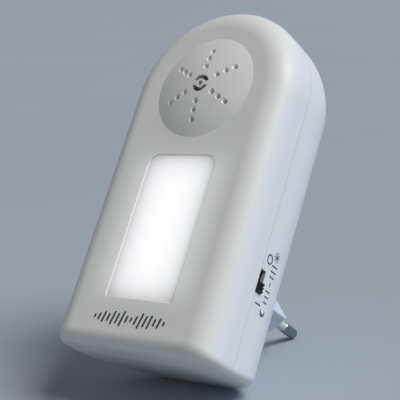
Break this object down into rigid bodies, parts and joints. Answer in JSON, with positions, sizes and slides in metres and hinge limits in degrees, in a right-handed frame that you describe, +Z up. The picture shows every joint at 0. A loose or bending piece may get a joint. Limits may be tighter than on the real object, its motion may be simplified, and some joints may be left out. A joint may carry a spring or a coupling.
{
  "type": "ultrasonic pest repeller",
  "caption": "Plug-in ultrasonic pest repeller: arch-topped housing with a domed speaker grille, a glowing night-light window, a side slide switch and a round-pin plug on its back.",
  "frame": {"origin": "midway between the two plug pins, on the face of the plug", "axes": "+Z up, +Y along the pins into the wall socket, +X to the right seen from the front"},
  "size_m": [0.069, 0.0847, 0.1303],
  "materials": {
    "housing_plastic": "moulded light grey plastic, satin",
    "opal_plastic": "opal translucent plastic, lit from behind",
    "white_plastic": "white moulded plastic",
    "sleeve_plastic": "light grey insulating plastic",
    "dark_plastic": "near-black moulded plastic",
    "plated_metal": "nickel plate",
    "brass_metal": "bare brass",
    "steel": "zinc-plated steel",
    "board_laminate": "paper laminate circuit board",
    "green_laminate": "white-coated circuit board",
    "ceramic": "fired ceramic",
    "foil": "thin aluminium foil cone",
    "film_case": "moulded case of a film capacitor",
    "can_sleeve": "shrink sleeve on an aluminium can",
    "ferrite": "ferrite",
    "copper": "enamelled copper wire",
    "component_body": "coated component",
    "wire_insulation": "wire insulation",
    "lamp_resin": "clear resin lamp"
  },
  "bodies": {
    "housing": {"front_shell": "housing_plastic", "rear_shell": "housing_plastic", "plug_block": "housing_plastic", "plug_pin_left": "plated_metal", "plug_pin_right": "plated_metal", "pin_sleeve_left": "sleeve_plastic", "pin_sleeve_right": "sleeve_plastic", "pin_tab_left": "brass_metal", "pin_tab_right": "brass_metal", "light_diffuser": "opal_plastic", "light_box": "white_plastic", "lamp_board": "green_laminate", "night_lamps": "lamp_resin", "transducer_can": "dark_plastic", "transducer_seat": "dark_plastic", "transducer_disc": "brass_metal", "transducer_ceramic": "ceramic", "transducer_cone": "foil", "transducer_ring": "dark_plastic", "transducer_screws": "steel", "transducer_terminals": "plated_metal", "case_screws": "steel", "board_screws": "steel", "switch_frame": "dark_plastic", "switch_base": "dark_plastic", "switch_terminals": "plated_metal", "main_board": "board_laminate", "dropper_capacitor": "film_case", "smoothing_capacitor": "can_sleeve", "supply_capacitor": "can_sleeve", "oscillator_chip": "dark_plastic", "transformer_core": "ferrite", "transformer_coil": "copper", "fuse_resistor": "component_body", "rectifier_diodes": "dark_plastic", "resistors": "component_body", "driver_transistors": "dark_plastic", "transducer_wires": "wire_insulation", "lamp_wires": "wire_insulation", "switch_wires": "wire_insulation"},
    "night_light_switch": {"switch_slider": "dark_plastic"}
  },
  "joints": [
    {"name": "switch_slide", "type": "slide", "parent": "housing", "child": "night_light_switch", "axis": [0, 0, 1], "range_m": [0, 0.0041]}
  ]
}
